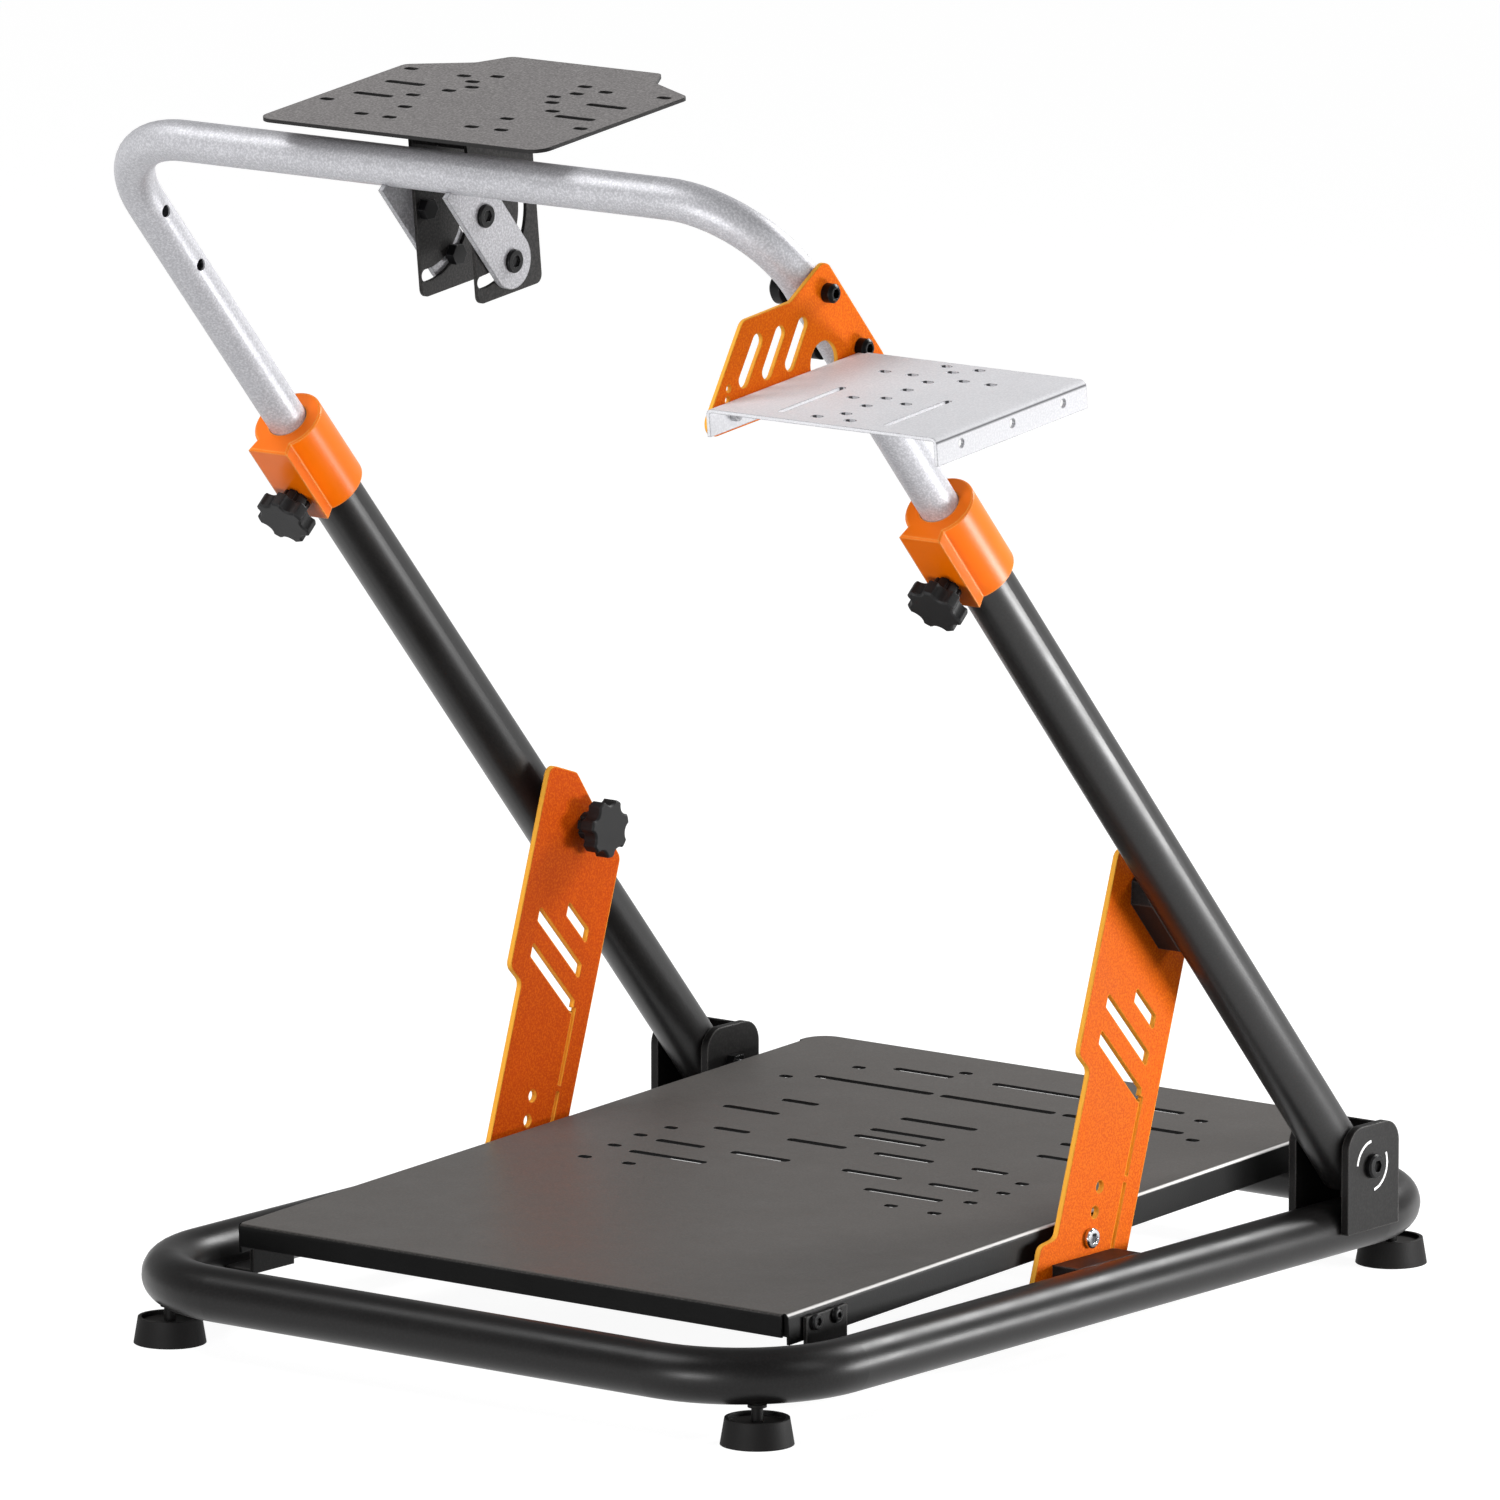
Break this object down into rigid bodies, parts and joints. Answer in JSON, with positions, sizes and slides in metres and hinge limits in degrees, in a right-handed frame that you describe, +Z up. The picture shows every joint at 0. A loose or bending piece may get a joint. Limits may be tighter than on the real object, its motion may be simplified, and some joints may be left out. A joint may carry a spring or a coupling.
{
  "type": "racing wheel stand",
  "caption": "Folding stand for a racing wheel: tube base with a slotted pedal plate, leaning telescopic uprights, tilting wheel plate and a side shelf for a shifter.",
  "frame": {"origin": "on the floor under the middle of the base loop", "axes": "+X to the driver's right, +Y the way the driver faces, +Z up"},
  "size_m": [0.7961, 0.875, 0.8864],
  "materials": {
    "black_paint": "satin black powder coat",
    "dark_coat": "matte textured dark grey powder coat",
    "silver_coat": "fine-grained silver powder coat",
    "orange_paint": "satin orange powder coat",
    "orange_collar": "satin orange moulding",
    "black_plastic": "moulded",
    "rubber_foot": "moulded, on a steel stud",
    "black_steel": "black oxide",
    "chrome_bolt": "polished"
  },
  "bodies": {
    "base": {"base_frame": "black_paint", "front_left_foot": "rubber_foot", "front_right_foot": "rubber_foot", "rear_left_foot": "rubber_foot", "rear_right_foot": "rubber_foot", "left_pivot_bracket": "black_paint", "left_pivot_bolt": "black_steel", "left_strut": "orange_paint", "left_strut_knob": "black_plastic", "left_pedal_bolt": "chrome_bolt", "left_lower_lug": "black_paint", "left_pedal_bracket": "black_paint", "left_pedal_pivot": "black_steel", "right_pivot_bracket": "black_paint", "right_pivot_bolt": "black_steel", "right_strut": "orange_paint", "right_strut_knob": "black_plastic", "right_pedal_bolt": "chrome_bolt", "right_lower_lug": "black_paint", "right_pedal_bracket": "black_paint", "right_pedal_pivot": "black_steel"},
    "uprights": {"left_upright": "black_paint", "left_upper_lug": "black_paint", "left_collar": "orange_collar", "left_collar_knob": "black_plastic", "right_upright": "black_paint", "right_upper_lug": "black_paint", "right_collar": "orange_collar", "right_collar_knob": "black_plastic"},
    "arch": {"wheel_arch": "silver_coat", "left_wheel_arm": "silver_coat", "left_tilt_pivot": "black_steel", "left_tilt_clamp": "black_steel", "right_wheel_arm": "silver_coat", "right_tilt_pivot": "black_steel", "right_tilt_clamp": "black_steel", "shifter_bracket": "orange_paint", "lower_shifter_bolt": "black_steel", "upper_shifter_bolt": "black_steel", "shifter_shelf": "silver_coat"},
    "wheel_deck": {"wheel_plate": "dark_coat", "tilt_bracket": "dark_coat"},
    "pedal_deck": {"pedal_plate": "dark_coat"}
  },
  "joints": [
    {"name": "fold", "type": "hinge", "parent": "base", "child": "uprights", "pos_m": [0, 0.2646, 0.091], "axis": [1, 0, 0], "range_deg": [0, 43]},
    {"name": "height", "type": "slide", "parent": "uprights", "child": "arch", "axis": [0, -0.662, 0.7495], "range_m": [-0.12, 0.08]},
    {"name": "wheel_tilt", "type": "hinge", "parent": "arch", "child": "wheel_deck", "pos_m": [0, -0.36603, 0.8051], "axis": [1, 0, 0], "range_deg": [-40, 0]},
    {"name": "pedal_tilt", "type": "hinge", "parent": "base", "child": "pedal_deck", "pos_m": [0, -0.27971, 0.06731], "axis": [1, 0, 0], "range_deg": [0, 6]}
  ]
}
